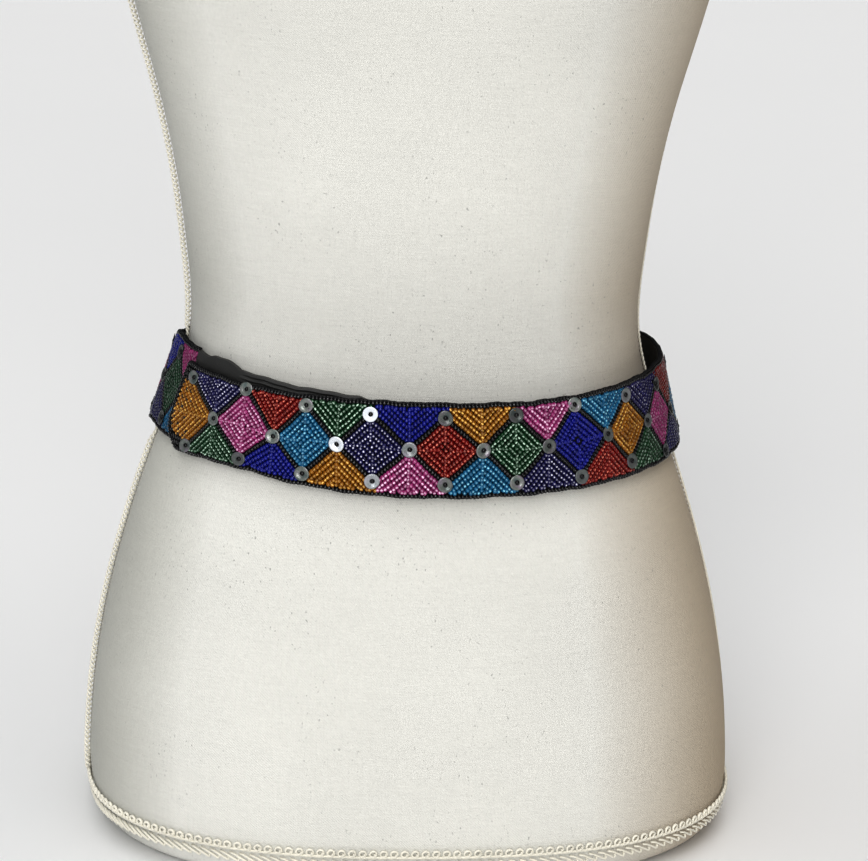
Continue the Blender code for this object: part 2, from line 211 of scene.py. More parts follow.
# Sequins with a painted highlight, and how strong it is
BRIGHT_SEQUINS = {("T", 3): 1.0, ("M", 2): 0.85, ("B", 3): 0.35, ("M", 3): 0.15}

Bead = namedtuple("Bead", "along height turn gleam")
Place = namedtuple("Place", "along height out turn lean tip size")


def a_length(name, description, default):
    """A setting that is a length."""
    return bpy.props.FloatProperty(name=name, description=description, default=default,
                                   unit="LENGTH")


def an_angle(name, description, default):
    """A setting that is an angle."""
    return bpy.props.FloatProperty(name=name, description=description, default=default,
                                   unit="ROTATION")


def a_colour(name, description, default):
    """A setting that is a colour."""
    return bpy.props.FloatVectorProperty(name=name, description=description, default=default,
                                         size=3, min=0.0, max=1.0, subtype="COLOR")


class BeadSettings(bpy.types.PropertyGroup):
    """Sizes and colours of the beadwork."""

    bead_length: a_length("Bead spacing", "Length of thread that one bead takes", 1.9 * MM)
    bead_width: a_length("Bead width", "Width of a bead across its thread", 2.6 * MM)
    row_step: a_length("Row spacing", "Distance between two rows of beads", 2.4 * MM)
    sequin_width: a_length("Sequin width", "Width of a cup sequin over its rim", 7.5 * MM)
    amber: a_colour("Amber", "Silver lined amber beads", (0.22, 0.080, 0.001))
    pink: a_colour("Pink", "Silver lined pink beads", (0.27, 0.032, 0.14))
    teal: a_colour("Teal", "Bright blue green beads", (0.005, 0.10, 0.21))
    navy: a_colour("Navy", "Dark blue beads", (0.010, 0.008, 0.070))
    red: a_colour("Red", "Silver lined red beads", (0.15, 0.002, 0.002))
    green: a_colour("Green", "Silver lined green beads", (0.002, 0.036, 0.010))
    royal: a_colour("Royal", "Opaque royal blue beads", (0.003, 0.006, 0.18))
    black: a_colour("Black", "Black outline beads", (0.004, 0.004, 0.005))


class ClothSettings(bpy.types.PropertyGroup):
    """Sizes and colours of the cloth, tape and braid."""

    canvas: a_colour("Canvas", "Cream canvas of the form", (0.78, 0.775, 0.732))
    braid: a_colour("Braid", "Rayon cord of the braids", (0.86, 0.83, 0.73))
    satin: a_colour("Satin", "Black satin of lining and tab", (0.012, 0.012, 0.011))
    tape: a_colour("Tape", "Black binding tape", (0.009, 0.009, 0.010))
    weave_step: a_length("Twill spacing", "Distance between two lines of the twill", 1.3 * MM)
    gimp_step: a_length("Gimp repeat", "Length of one loop of the base braid", 5.2 * MM)
    plait_step: a_length("Chain repeat", "Length of one turn of the side braids", 5.0 * MM)
    cord_width: a_length("Cord width", "Width of the cord in the braids", 1.05 * MM)


class StageSettings(bpy.types.PropertyGroup):
    """The camera, the lights and the floor."""

    distance: a_length("Distance", "Camera's distance from the form, along the floor", 1.5)
    height: a_length("Height", "Camera's height", 0.622)
    aside: a_length("Aside", "How far the camera stands right of the form's middle", 8.7 * MM)
    yaw: an_angle("Yaw", "Turn round the form", 0.09)
    pitch: an_angle("Pitch", "Downward look", 0.2717)
    roll: an_angle("Roll", "Tilt of the picture", 0.0309)
    lens: bpy.props.FloatProperty(
        name="Lens", description="Focal length for a 36 mm wide picture", default=124.2,
        unit="CAMERA")
    floor: a_colour("Floor", "Pale floor", (0.90, 0.90, 0.90))


class Value:
    """A socket's value that takes part in plain arithmetic."""

    def __init__(self, finish, socket):
        self.finish = finish
        self.socket = socket

    def math(self, operation, other=0.0, flip=False):
        pair = (other, self) if flip else (self, other)
        return self.finish.add("ShaderNodeMath", {"operation": operation},
                               {0: pair[0], 1: pair[1]})

    def __add__(self, other):
        return self.math("ADD", other)

    def __sub__(self, other):
        return self.math("SUBTRACT", other)

    def __rsub__(self, other):
        return self.math("SUBTRACT", other, flip=True)

    def __mul__(self, other):
        return self.math("MULTIPLY", other)

    def __truediv__(self, other):
        return self.math("DIVIDE", other)

    __radd__ = __add__
    __rmul__ = __mul__


class Finish:
    """A material with its Principled shader and the nodes that feed it."""

    def __init__(self, name, **constants):
        self.material = bpy.data.materials.new(name)
        self.material.use_nodes = True
        self.tree = self.material.node_tree
        self.shader = self.tree.nodes["Principled BSDF"]
        for label, value in constants.items():
            self.shader.inputs[label.replace("_", " ")].default_value = value

    def add(self, kind, settings=None, sockets=None, out=0):
        """A node of any kind: its settings first, then values or links for its sockets."""
        node = self.tree.nodes.new(kind)
        for label, value in (settings or {}).items():
            if label == "stops":
                ramp = node.color_ramp.elements
                while len(ramp) < len(value):
                    ramp.new(1.0)
                for element, (position, colour) in zip(ramp, value):
                    element.position = position
                    element.color = colour
            else:
                setattr(node, label, value)
        for key, value in (sockets or {}).items():
            if isinstance(value, Value):
                self.tree.links.new(value.socket, node.inputs[key])
            else:
                node.inputs[key].default_value = value
        return Value(self, node.outputs[out])

    def feed(self, label, value):
        """Link a value to the shader."""
        self.tree.links.new(value.socket, self.shader.inputs[label])

    def place(self):
        """Places on the object, in metres."""
        return self.add("ShaderNodeTexCoord", out="Object")

    def split(self, vector):
        """The three parts of a vector."""
        parts = self.tree.nodes.new("ShaderNodeSeparateXYZ")
        self.tree.links.new(vector.socket, parts.inputs[0])
        return [Value(self, socket) for socket in parts.outputs]

    def mark(self, label, out="Fac"):
        """An attribute of the piece."""
        return self.add("ShaderNodeAttribute", {"attribute_name": label}, out=out)

    def noise(self, vector, scale, detail=2.0, rough=0.5):
        """Noise from 0 to 1, stretched where its scale is three numbers."""
        if isinstance(scale, tuple):
            vector = self.add("ShaderNodeMapping", None, {"Vector": vector, "Scale": scale})
            scale = 1.0
        return self.add("ShaderNodeTexNoise", None,
                        {"Vector": vector, "Scale": scale, "Detail": detail,
                         "Roughness": rough})

    def remap(self, value, low, high, new_low=0.0, new_high=1.0):
        """A value moved from one range to another, and held within it."""
        return self.add("ShaderNodeMapRange", None,
                        {"Value": value, "From Min": low, "From Max": high,
                         "To Min": new_low, "To Max": new_high})

    def blend(self, factor, first, second, how="MIX"):
        """Two colours mixed."""
        return self.add("ShaderNodeMix", {"data_type": "RGBA", "blend_type": how},
                        {0: factor, 6: first, 7: second}, out=2)

    def bump(self, height, distance, strength):
        """Relief on the surface."""
        bump = self.add("ShaderNodeBump", None,
                        {"Height": height, "Distance": distance, "Strength": strength})
        self.feed("Normal", bump)


def rgba(colour, gain=1.0):
    """A colour with its alpha, brighter or darker."""
    return (*(min(1.0, part * gain) for part in colour), 1.0)


def canvas_finish(cloth):
    """Cream twill with slubs, dark flecks and soft mottling, and painted shade at its sides,
    bottom and waist.
    """
    finish = Finish("cream canvas", Roughness=0.92, Sheen_Weight=0.15, Sheen_Roughness=0.6,
                    Specular_IOR_Level=0.2)
    place = finish.place()
    x, y, z = finish.split(place)
    mean_radius = 0.5 * (LOOP_HALF_WIDTH + LOOP_FRONT)
    around = x.math("ARCTAN2", y * -1.0) * mean_radius
    lines = ((around + z) * (2.0 * math.pi / cloth.weave_step)).math("SINE")
    across = finish.noise(place, (60.0, 60.0, 1100.0), 3.0, 0.6)
    upward = finish.noise(place, (900.0, 900.0, 45.0), 3.0, 0.6)
    cloudy = finish.noise(place, 14.0, 3.0)
    grain = finish.noise(place, 1100.0, 2.0, 0.7)
    flecks = finish.noise(place, (760.0, 760.0, 520.0), 1.0)
    where = finish.noise(place, 22.0, 1.0)
    fleck = finish.remap(flecks, 0.69, 0.78) * finish.remap(where, 0.42, 0.58)
    shade = across * 0.06 + upward * 0.06 + cloudy * 0.06 + grain * 0.10 + lines * 0.006
    toned_and_shaded = finish.blend(finish.remap(shade, 0.08, 0.20),
                         rgba(cloth.canvas, 0.88), rgba(cloth.canvas, 1.08))
    from_waist = (z - WAIST).math("ABSOLUTE")
    aside = x / finish.remap(from_waist, 0.0, FLARE_RISE, WAIST_HALF, FLARE_HALF)
    from_belt = (z - 275.0 * MM).math("ABSOLUTE")
    # Painted shade: darker at the left side; darker and warm brown at the right side, a painted
    # warm reflection; darker towards the bottom; darker in a band round the waist, strongest just
    # above the belt
    painted_shades = (
        (finish.remap(aside, -0.74, -1.0), (0.66, 0.66, 0.63)),
        (finish.remap(aside, 0.50, 1.0), (0.58, 0.46, 0.32)),
        (finish.remap(z, 215.0 * MM, 150.0 * MM), (0.94, 0.94, 0.94)),
        (finish.remap(from_belt, 5.0 * MM, 70.0 * MM, 1.0, 0.0), (0.88, 0.88, 0.88)),
    )
    for share, shade_colour in painted_shades:
        toned_and_shaded = finish.blend(share, toned_and_shaded, rgba(shade_colour), "MULTIPLY")
    finish.feed("Base Color", finish.blend(fleck * 0.55, toned_and_shaded, rgba(cloth.canvas, 0.25)))
    finish.bump(across + upward + grain + lines * 0.2, 0.0003, 0.7)
    return finish.material


def braid_finish(cloth):
    """Shiny rayon cord with its twist."""
    finish = Finish("cream rayon braid", Roughness=0.45, Sheen_Weight=0.3,
                    Sheen_Roughness=0.4, Specular_IOR_Level=0.5)
    place = finish.place()
    fine = finish.noise(place, (2600.0, 2600.0, 2600.0))
    mixed = fine * 0.6 + finish.noise(place, 60.0) * 0.4
    finish.feed("Base Color", finish.blend(finish.remap(mixed, 0.3, 0.7),
                                           rgba(cloth.braid, 0.84), rgba(cloth.braid, 1.07)))
    finish.bump(fine, 0.0002, 0.5)
    return finish.material


def bead_finish(name, colour, kind):
    """Glass beads: dark glass with a short bright streak, partly a silver lining and partly a
    painted highlight.
    """
    finish = Finish(f"{name} glass beads", Roughness=0.3, Specular_IOR_Level=0.15,
                    Coat_Weight=0.4, Coat_Roughness=0.06, Coat_IOR=1.5)
    tint, gleam = finish.mark("tint"), finish.mark("gleam")
    x, y, _ = finish.split(finish.mark("on_bead", "Vector"))
    run = x / kind.long
    side = (y - (tint - 0.5) * 0.3) / kind.wide
    reach = (run * run + side * side).math("SQRT")
    # The streak is a painted highlight, partly in the lining's colour; the gleam mark sets how
    # strong it is
    painted_highlight = finish.remap(reach, 0.55, 1.0, 1.0, 0.0) * gleam * kind.gleam
    # The tint mark darkens the glass at random and, as painted shade, where the belt faces aside
    glass = finish.blend(tint, rgba(colour, 0.65), rgba(colour, 1.4))
    finish.feed("Base Color", finish.blend(painted_highlight, glass, rgba(kind.lining)))
    finish.feed("Roughness", tint * 0.16 + 0.15)
    return finish.material


def sequin_finish():
    """Grey film with a faint play of colour, darkened by the tint mark, and a painted silver
    highlight.
    """
    finish = Finish("clear grey sequins", Coat_Roughness=0.08, Specular_IOR_Level=0.15)
    tint, gleam = finish.mark("tint"), finish.mark("gleam")
    play = finish.noise(finish.place(), 260.0)
    film = finish.add("ShaderNodeValToRGB", {"stops": (
        (0.3, (0.13, 0.17, 0.17, 1.0)),
        (0.5, (0.25, 0.27, 0.25, 1.0)),
        (0.7, (0.31, 0.27, 0.33, 1.0)),
    )}, {"Fac": play})
    # The tint mark darkens the film at random and, as painted shade, where the belt faces aside
    film = finish.blend(tint, film, (0.035, 0.04, 0.04, 1.0))
    finish.feed("Metallic", tint * -0.25 + 0.3)
    finish.feed("Coat Weight", tint * -0.5 + 0.55)
    # Painted highlight: silver white where the gleam mark is high
    finish.feed("Base Color", finish.blend(gleam, film, (0.85, 0.89, 0.95, 1.0)))
    finish.feed("Roughness", play * 0.2 + 0.15)
    return finish.material


def satin_finish(name, colour, shine, roughness, rib_step):
    """Black cloth or tape with a fine rib along its length."""
    finish = Finish(name, Specular_IOR_Level=shine)
    flat = finish.add("ShaderNodeUVMap", {"uv_map": "flat"})
    run, _, _ = finish.split(flat)
    ribs = (run * (2.0 * math.pi / rib_step)).math("SINE")
    fuzz = finish.noise(flat, (900.0, 2600.0, 1.0))
    lint = finish.noise(flat, (700.0, 500.0, 1.0), 1.0)
    grey = finish.remap(lint, 0.68, 0.80, 0.0, 0.3) + fuzz * 0.1
    finish.feed("Base Color", finish.blend(grey, rgba(colour), rgba(colour, 6.0)))
    finish.feed("Roughness", fuzz * 0.2 + roughness)
    finish.bump(ribs * 0.5 + fuzz, 0.00012, 0.6)
    return finish.material


def smooth_curve(keys, values, at):
    """Read a table at many places, on a smooth curve through its points."""
    slopes = np.gradient(values, keys)
    at = np.clip(at, keys[0], keys[-1])
    i = np.clip(np.searchsorted(keys, at, side="right") - 1, 0, len(keys) - 2)
    span = keys[i + 1] - keys[i]
    t = (at - keys[i]) / span
    return ((2 * t**3 - 3 * t**2 + 1) * values[i] + (t**3 - 2 * t**2 + t) * span * slopes[i]
            + (3 * t**2 - 2 * t**3) * values[i + 1] + (t**3 - t**2) * span * slopes[i + 1])


Loop = namedtuple("Loop", "along x y run_x run_y length")


def measure_loop():
    """The loop as lengths along it, places and directions."""
    turns = np.linspace(-math.pi, math.pi, 1441)
    power = 2.0 / LOOP_SQUARENESS
    depth = np.where(np.cos(turns) >= 0.0, LOOP_FRONT, LOOP_BACK)
    x = LOOP_HALF_WIDTH * np.sign(np.sin(turns)) * np.abs(np.sin(turns)) ** power
    y = -depth * np.sign(np.cos(turns)) * np.abs(np.cos(turns)) ** power
    along = np.concatenate([[0.0], np.cumsum(np.hypot(np.diff(x), np.diff(y)))])
    length = along[-1]
    along -= np.interp(0.0, turns, along)
    return Loop(along, x, y, np.gradient(x, along), np.gradient(y, along), length)


LOOP = measure_loop()
LAYER_KEYS, LAYER_LIFTS, LAYER_RISES = np.array(LAYERS).T[:3] * MM
LAYER_WIDTHS = np.array(LAYERS).T[3]


def read_loop(along, *columns):
    """Columns of the loop's table at places along it, which may lie past its join."""
    turn = (along + LOOP.length / 2) % LOOP.length - LOOP.length / 2
    return [np.interp(turn, LOOP.along, column) for column in columns]


def layer_at(along, column):
    """A column of the layers' table at places along the belt."""
    return smooth_curve(LAYER_KEYS, column, along)


def hand_waver(along):
    """Small unevenness of a strip sewn by hand: up its width and off its face."""
    up = 0.22 * np.sin(along * 210.0 + 1.0) + 0.14 * np.sin(along * 470.0)
    off = 0.16 * np.sin(along * 160.0) + 0.08 * np.sin(along * 390.0 + 2.0)
    return up * MM, off * MM


def on_belt(flat):
    """Flat places, as rows of along, height and out, bent round the loop."""
    along, height, out = np.array(flat, dtype=float).reshape(-1, 3).T
    x, y, run_x, run_y = read_loop(along, LOOP.x, LOOP.y, LOOP.run_x, LOOP.run_y)
    up, off = hand_waver(along)
    lift = layer_at(along, LAYER_LIFTS) + out + off
    height = height * layer_at(along, LAYER_WIDTHS)
    height = height + up + layer_at(along, LAYER_RISES)
    x = x + run_y * lift
    y = y - run_x * lift
    side = np.minimum(1.0, (x / LOOP_HALF_WIDTH) ** 2)
    flare = np.where(x > 0.0, RIGHT_FLARE, LEFT_FLARE) * side + FRONT_FLARE * (1.0 - side)
    spread = 1.0 - flare * height / np.hypot(x, y)
    rise = BELT_MIDDLE + height + TILT_X * x + TILT_Y * y
    return np.column_stack((x * spread + BELT_SHIFT, y * spread, rise))


def painted_side_shade(along):
    """How much painted shade the beads and sequins take at a place along the belt: 1 where it
    faces aside.
    """
    aside = 1.0 - abs(read_loop(along, LOOP.run_x)[0])
    start = 0.2 if along > 0.0 else 0.6
    return float(np.clip((aside - start) / 0.3, 0.0, 1.0))


def crown(height):
    """How far the face falls back from its middle line."""
    return FACE_CROWN * (height / FACE_HALF) ** 2


def add_object(name, data):
    """A new object in the scene."""
    item = bpy.data.objects.new(name, data)
    bpy.context.scene.collection.objects.link(item)
    return item


def finish_piece(name, data, material, replaced=(), smooth=True):
    """A finished mesh as a piece of the root body."""
    data.materials.append(material)
    if smooth:
        data.shade_smooth()
    piece = add_object(name, data)
    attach(piece, BODY)
    if replaced:
        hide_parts(*replaced)
    return piece


def mesh_data(name, shape):
    """A bmesh as mesh data, and the bmesh is freed."""
    data = bpy.data.meshes.new(name)
    shape.to_mesh(data)
    shape.free()
    return data


def copied_data(name, places, faces, times):
    """Mesh data of equal copies, from all their places and the faces of the first."""
    count = len(places) // times
    all_faces = [[index + count * i for index in face] for i in range(times) for face in faces]
    data = bpy.data.meshes.new(name)
    data.from_pydata(places, [], all_faces)
    return data


def mesh_arrays(shape):
    """A bmesh's vertices and faces, and the bmesh is freed."""
    shape.verts.index_update()
    places = np.array([vert.co[:] for vert in shape.verts])
    faces = [[vert.index for vert in face.verts] for face in shape.faces]
    shape.free()
    return places, faces


def bend_mesh(name, shape, wrap):
    """Turn a flat bmesh into mesh data, with its flat places kept as a UV map."""
    flat = shape.loops.layers.uv.new("flat")
    for face in shape.faces:
        for loop in face.loops:
            loop[flat].uv = loop.vert.co.xy
    data = mesh_data(name, shape)
    places = np.empty(len(data.vertices) * 3)
    data.vertices.foreach_get("co", places)
    data.vertices.foreach_set("co", wrap(places.reshape(-1, 3)).ravel())
    data.update()
    return data


def strew(name, shape, places, material, tints, gleams):
    """Join copies of a small shape, one at each flat place on the belt, into one piece."""
    points, faces = mesh_arrays(shape)
    on_bead = points / points.max(axis=0)
    blocks = []
    for place in places:
        turn = (Matrix.Rotation(place.turn, 3, "Z") @ Matrix.Rotation(place.lean, 3, "X")
                @ Matrix.Rotation(place.tip, 3, "Y"))
        block = points @ np.array(turn).T * place.size
        blocks.append(block + (place.along, place.height, place.out))
    data = copied_data(name, on_belt(np.concatenate(blocks)), faces, len(places))
    for label, values in (("tint", tints), ("gleam", gleams)):
        mark = data.attributes.new(label, "FLOAT", "POINT")
        mark.data.foreach_set("value", np.repeat(values, len(points)).astype(np.float32))
    mark = data.attributes.new("on_bead", "FLOAT_VECTOR", "POINT")
    mark.data.foreach_set("vector", np.tile(on_bead, (len(places), 1)).ravel())
    data.update()
    return finish_piece(name, data, material)


def knot_place(row, k):
    """Where a sequin of one row lies, flat: T is the top row, M the middle, B the bottom."""
    step = k + 0.5 if row == "M" else k
    along = (FIRST_KNOT + KNOT_STEP * min(step, FRONT_KNOTS)
             + BACK_STEP * max(0.0, step - FRONT_KNOTS))
    known = {"T": TOP_KNOTS, "M": MIDDLE_KNOTS, "B": BOTTOM_KNOTS}[row]
    if 0 <= k < len(known):
        along += known[k].shift * MM
        height = known[k].height * MM - layer_at(along, LAYER_RISES)
        return Vector((along, height / layer_at(along, LAYER_WIDTHS)))
    dice = random.Random(f"{row}{k}")
    height = {"T": KNOT_HEIGHT, "M": 0.0, "B": -KNOT_HEIGHT}[row]
    return Vector((along + dice.uniform(-HAND_SPREAD, HAND_SPREAD),
                   height + dice.uniform(-HAND_SPREAD, HAND_SPREAD)))


def end_edge(height):
    """Where the outer end's cut lies at a height."""
    rows = sorted(OUTER_END, key=lambda point: point.height)
    return np.interp(height, [p.height for p in rows], [p.along for p in rows])


def in_from_edges(point, margin):
    """Whether a flat place lies on the face, this far in from its edges."""
    return (abs(point.y) <= FACE_HALF - margin
            and end_edge(point.y) + margin <= point.x <= UNDER_END - margin)


def offset_line(first, last, distance):
    """A line moved to its left by a distance."""
    run = (last - first).normalized()
    side = Vector((-run.y, run.x)) * distance
    return first + side, last + side


def crossing(line, other):
    """Where two endless lines cross."""
    (a, b), (c, d) = line, other
    run, far = b - a, d - c
    share = (c - a).cross(far) / run.cross(far)
    return a + run * share


class Beadwork:
    """Beads laid down in rows, colour by colour, none on top of another."""

    def __init__(self, beads, sequins):
        self.step = beads.bead_length
        self.row = beads.row_step
        self.sequins = sequins
        self.laid = {}
        self.cells = {}
        self.dice = random.Random("rows")

    def shine(self):
        """How strong the painted highlight is on the beads of one row."""
        return self.dice.uniform(0.35, 1.0)

    def free(self, point, room):
        """Whether a place is clear of the beads laid so far."""
        column, line = int(point.x // self.row), int(point.y // self.row)
        near = [old for i in (-1, 0, 1) for j in (-1, 0, 1)
                for old in self.cells.get((column + i, line + j), ())]
        return all((point - old).length > room for old in near)

    def lay(self, colour, point, turn, gleam=0.6, room=0.6):
        """Sew one bead if there is room for it."""
        if not in_from_edges(point, BEAD_MARGIN) or not self.free(point, room * self.step):
            return
        if any((point - sequin).length < SEQUIN_ROOM for sequin in self.sequins):
            return
        key = (int(point.x // self.row), int(point.y // self.row))
        self.cells.setdefault(key, []).append(point)
        self.laid.setdefault(colour, []).append(Bead(point.x, point.y, turn, gleam))

    def line(self, colour, first, last, start=0.5):
        """A row of beads between two points, from a share of a step past the first."""
        run = last - first
        count = max(1, round(run.length / self.step))
        turn = math.atan2(run.y, run.x)
        gleam = self.shine()
        for i in range(count):
            self.lay(colour, first + run * ((i + start) / count), turn, gleam)

    def diamond(self, colour, corners):
        """Closed rings of beads, one inside another, round a middle bead."""
        pairs = list(zip(corners, corners[1:] + corners[:1]))
        middle = sum(corners, Vector((0.0, 0.0))) / len(corners)
        outer = None
        for ring in range(1, MOST_RINGS):
            lines = [offset_line(a, b, self.row * ring) for a, b in pairs]
            points = [crossing(lines[i - 1], lines[i]) for i in range(len(lines))]
            sides = list(zip(points, points[1:] + points[:1]))
            if any((b - a).dot(d - c) < (self.step * 0.4) * (d - c).length
                   for (a, b), (c, d) in zip(sides, pairs)):
                break
            for a, b in sides:
                self.line(colour, a, b, 0.0)
            for a, b in zip(outer or points, points):
                turn = math.atan2(middle.y - a.y, middle.x - a.x)
                self.lay(colour, (a + b) / 2, turn, 0.3, 0.5)
            outer = points
        self.lay(colour, middle, 0.0, 0.8, 0.5)

    def chevrons(self, colour, first, tip, last, inside):
        """Rows in a V round a tip, open at the other side."""
        outer = None
        for ring in range(1, MOST_RINGS):
            arm = offset_line(first, tip, self.row * ring)
            point = crossing(arm, offset_line(tip, last, self.row * ring))
            for run in ((first - tip).normalized(), (last - tip).normalized()):
                turn = math.atan2(run.y, run.x)
                gleam = self.shine()
                for i in range(24):
                    spot = point + run * self.step * i
                    if inside(spot):
                        self.lay(colour, spot, turn, gleam)
            between = (point + (outer or point)) / 2
            if inside(between):
                self.lay(colour, between, turn, 0.3, 0.5)
            outer = point

    def seam_row(self, colour, first, last, tip):
        """A last row between two knots, beside the black edge row."""
        level = math.copysign(FACE_HALF - EDGE_ROW - 0.75 * self.row, first.y)
        count = int(abs(last.x - first.x) / self.step)
        for i in range(count):
            x = first.x + (last.x - first.x) * (i + 0.5) / count
            spot = Vector((x, level))
            sides = ((spot - first).cross(tip - first), (spot - last).cross(tip - last))
            clear = min(abs(side) / (tip - end).length
                        for side, end in zip(sides, (first, last)))
            if sides[0] * sides[1] < 0.0 and clear > 0.9 * self.row:
                self.lay(colour, spot, 0.0, self.shine(), 0.55)


def edge_path(margin):
    """The outline of the face, this far in from its edge, from the top round to the bottom."""
    rows = [Vector((UNDER_END - margin, FACE_HALF - margin))]
    rows += [Vector((point.along + margin, max(-1.0, min(1.0, point.height / FACE_HALF))
                     * (FACE_HALF - margin))) for point in OUTER_END]
    rows.append(Vector((UNDER_END - margin, -FACE_HALF + margin)))
    return rows


def cell_colour(k, step, changed):
    """The colour of a cell: the order goes round the belt, apart from the last cells."""
    return changed.get(k, ORDER[(k + step) % len(ORDER)])


def lay_pattern(beads):
    """Work the whole pattern: edges and outlines in black, then each cell in its colour."""
    knots = {(row, k): knot_place(row, k)
             for row in "TMB" for k in range(-1, KNOT_COUNT + 1)}
    sequins = {key: place for key, place in knots.items()
               if in_from_edges(place, SEQUIN_MARGIN)}
    work = Beadwork(beads, list(sequins.values()))
    path = edge_path(EDGE_ROW)
    for first, last in zip(path, path[1:]):
        work.line("black", first, last)
    for k in range(KNOT_COUNT):
        middle = knots["M", k]
        work.line("black", knots["T", k], middle)
        work.line("black", middle, knots["B", k])
        work.line("black", knots["B", k + 1], middle)
        work.line("black", middle, knots["T", k + 1])
    for k in range(KNOT_COUNT):
        top, right, bottom = knots["T", k], knots["M", k], knots["B", k]
        left = knots["M", k - 1]
        colour = cell_colour(k, 0, OTHER_DIAMONDS)
        if k == 0:
            # The outer end cuts this diamond, and its rows open towards the end
            upper, lower = (Vector((left.x, level)) for level in END_CUT)

            def within(spot):
                return ((spot - top).cross(upper - top) < 0.0
                        < (spot - bottom).cross(lower - bottom)
                        and in_from_edges(spot, EDGE_ROW + 0.8 * beads.row_step))
            work.chevrons(colour, bottom, right, top, within)
        else:
            work.diamond(colour, [top, left, bottom, right])
        next_top, next_bottom = knots["T", k + 1], knots["B", k + 1]
        reach = FACE_HALF - EDGE_ROW - 0.6 * beads.row_step
        above = cell_colour(k, TOP_STEP, OTHER_TOPS)
        below = cell_colour(k, BOTTOM_STEP, OTHER_BOTTOMS)
        work.chevrons(above, top, right, next_top, lambda spot: spot.y < reach)
        work.chevrons(below, next_bottom, right, bottom, lambda spot: spot.y > -reach)
        work.seam_row(above, top, next_top, right)
        work.seam_row(below, bottom, next_bottom, right)
    # Black beads fill what is left beside the outer end
    for i in range(12):
        for j in range(-9, 10):
            spot = Vector((OUTER_END[3].along + i * beads.bead_length, j * beads.row_step))
            if spot.x < FIRST_KNOT + 2.0 * MM:
                work.lay("black", spot, 0.0)
    return work.laid, sequins


def barrel_shape(length, width):
    """A short barrel with soft rims, on its thread along X."""
    shape = bmesh.new()
    bmesh.ops.create_cone(shape, cap_ends=True, segments=8, radius1=width / 2,
                          radius2=width / 2, depth=length,
                          matrix=Matrix.Rotation(math.pi / 2, 4, "Y"))
    rims = [edge for edge in shape.edges
            if abs(edge.verts[0].co.x - edge.verts[1].co.x) < 0.1 * length]
    bmesh.ops.bevel(shape, geom=rims, offset=0.24 * length, offset_type="OFFSET", segments=1,
                    profile=0.5, affect="EDGES", material=-1)
    bmesh.ops.scale(shape, vec=(1.0, 1.0, 0.75), verts=shape.verts)
    return shape


def round_shape(length, width):
    """A rounded bead on its thread along X."""
    shape = bmesh.new()
    bmesh.ops.create_uvsphere(shape, u_segments=8, v_segments=6, radius=0.5,
                              matrix=Matrix.Rotation(math.pi / 2, 4, "Y"))
    bmesh.ops.scale(shape, vec=(length * 1.12, width, width * 0.75), verts=shape.verts)
    return shape


def cup_shape(width):
    """A cup sequin: a flat rim, a shallow cup and a hole."""
    radius = width / 2
    profile = ((0.14, 0.0), (0.40, 0.0), (0.66, 0.08), (0.74, 0.13), (1.0, 0.15))
    shape = bmesh.new()
    verts = [shape.verts.new((reach * radius, 0.0, rise * radius)) for reach, rise in profile]
    edges = [shape.edges.new(pair) for pair in zip(verts, verts[1:])]
    bmesh.ops.spin(shape, geom=verts + edges, cent=(0.0, 0.0, 0.0), axis=(0.0, 0.0, 1.0),
                   angle=2.0 * math.pi, steps=20, use_merge=True)
    bmesh.ops.remove_doubles(shape, verts=shape.verts, dist=0.01 * MM)
    bmesh.ops.recalc_face_normals(shape, faces=shape.faces)
    bmesh.ops.solidify(shape, geom=shape.faces, thickness=0.12 * MM)
    return shape


def flat_strip(first, last, half, steps, rows):
    """A flat strip of cloth as a grid."""
    shape = bmesh.new()
    bmesh.ops.create_grid(shape, x_segments=steps, y_segments=rows, size=1.0)
    for vert in shape.verts:
        vert.co = Vector((first + (vert.co.x + 1.0) / 2.0 * (last - first),
                          vert.co.y * half, 0.0))
    return shape


def trim_end(shape):
    """Cut the outer end's outline."""
    for upper, lower in zip(OUTER_END, OUTER_END[1:]):
        run = Vector((lower.along - upper.along, lower.height - upper.height, 0.0))
        everything = shape.verts[:] + shape.edges[:] + shape.faces[:]
        bmesh.ops.bisect_plane(shape, geom=everything, dist=1e-7,
                               plane_co=(upper.along, upper.height, 0.0),
                               plane_no=(run.y, -run.x, 0.0), clear_outer=True)


def thicken(shape, thickness):
    """Give a flat sheet its wall, half to each side."""
    bmesh.ops.recalc_face_normals(shape, faces=shape.faces)
    bmesh.ops.solidify(shape, geom=shape.faces, thickness=thickness)
    places = [vert.co.z for vert in shape.verts]
    middle = (max(places) + min(places)) / 2
    bmesh.ops.translate(shape, vec=(0.0, 0.0, -middle), verts=shape.verts)
    bmesh.ops.recalc_face_normals(shape, faces=shape.faces)


def tape_strip(path, outward, steps):
    """A tape folded over an edge: a grid whose width goes round the edge."""
    lengths = [0.0]
    for first, last in zip(path, path[1:]):
        lengths.append(lengths[-1] + (last - first).length)

    def read(place, rows):
        return Vector([np.interp(place, lengths, column) for column in zip(*rows)])

    shape = bmesh.new()
    bmesh.ops.create_grid(shape, x_segments=steps, y_segments=8, size=1.0)
    for vert in shape.verts:
        place = (vert.co.x + 1.0) / 2.0 * lengths[-1]
        angle = vert.co.y * TAPE_FOLD
        pucker = 1.0 + 0.15 * math.sin(place * PUCKER) + 0.15 * math.sin(place * PUCKER * 0.37)
        off = TAPE_GAP + TAPE_REACH * pucker * (math.cos(angle) - math.cos(TAPE_FOLD))
        spot = read(place, path) + read(place, outward).normalized() * off
        vert.co = (spot.x, spot.y, TAPE_MIDDLE + TAPE_HALF * math.sin(angle))
    return shape


